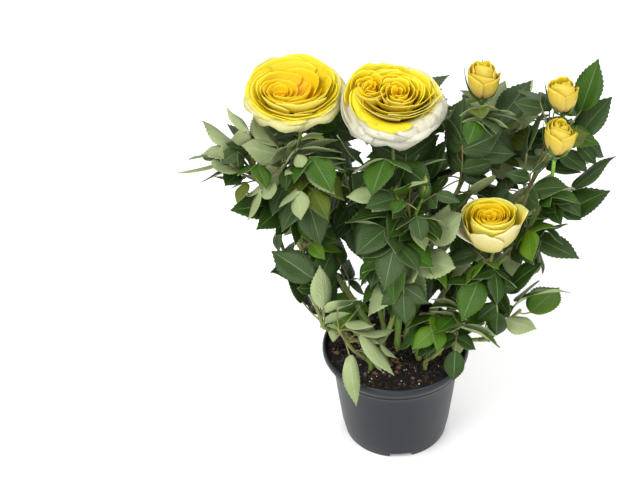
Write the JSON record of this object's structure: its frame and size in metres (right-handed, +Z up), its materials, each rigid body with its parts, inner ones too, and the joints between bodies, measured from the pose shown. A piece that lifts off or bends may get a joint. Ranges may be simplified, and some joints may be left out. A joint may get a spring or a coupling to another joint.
{
  "type": "potted rose bush",
  "caption": "Miniature rose bush with yellow blooms and buds, grown from several stems in a plain round nursery pot that stands on its flat underside.",
  "frame": {"origin": "centre of the pot's flat underside, where the pot stands on the ground", "axes": "+Z up along the pot's axis, -Y towards the front of the plant, +X to the right as seen from the front"},
  "size_m": [0.3359, 0.2291, 0.3059],
  "materials": {
    "pot": "satin moulded plastic",
    "soil": "damp crumbly peat",
    "trunk": "rough bark",
    "stems": "smooth green bark",
    "foliage": "glossy leaves",
    "flowers": "soft petals"
  },
  "bodies": {
    "root": {"pot": "pot", "soil": "soil", "trunk": "trunk", "cane_left": "stems", "cane_centre": "stems", "stem_right": "stems", "stem_centre": "stems", "stem_bud_top": "stems", "stem_bud_right": "stems", "stem_bud_outer": "stems", "stem_far_left": "stems", "stem_back_left": "stems", "stem_back": "stems", "stem_back_right": "stems", "stem_left_low": "stems", "stem_front_left": "stems", "stem_front_right": "stems", "stem_right_low": "stems", "stem_back_low_left": "stems", "stem_back_low": "stems", "stem_back_low_right": "stems", "foliage_left": "foliage", "foliage_centre": "foliage", "foliage_right": "foliage", "foliage_centre_top": "foliage", "foliage_bud_top": "foliage", "foliage_bud_right": "foliage", "foliage_bud_outer": "foliage", "foliage_far_left": "foliage", "foliage_back_left": "foliage", "foliage_back": "foliage", "foliage_back_right": "foliage", "foliage_left_low": "foliage", "foliage_front_left": "foliage", "foliage_front_right": "foliage", "foliage_right_low": "foliage", "foliage_back_low_left": "foliage", "foliage_back_low": "foliage", "foliage_back_low_right": "foliage", "rose_left": "flowers", "rose_centre": "flowers", "rose_right": "flowers", "bud_top": "flowers", "bud_outer": "flowers", "bud_right": "flowers", "bud_small": "flowers"}
  },
  "joints": []
}
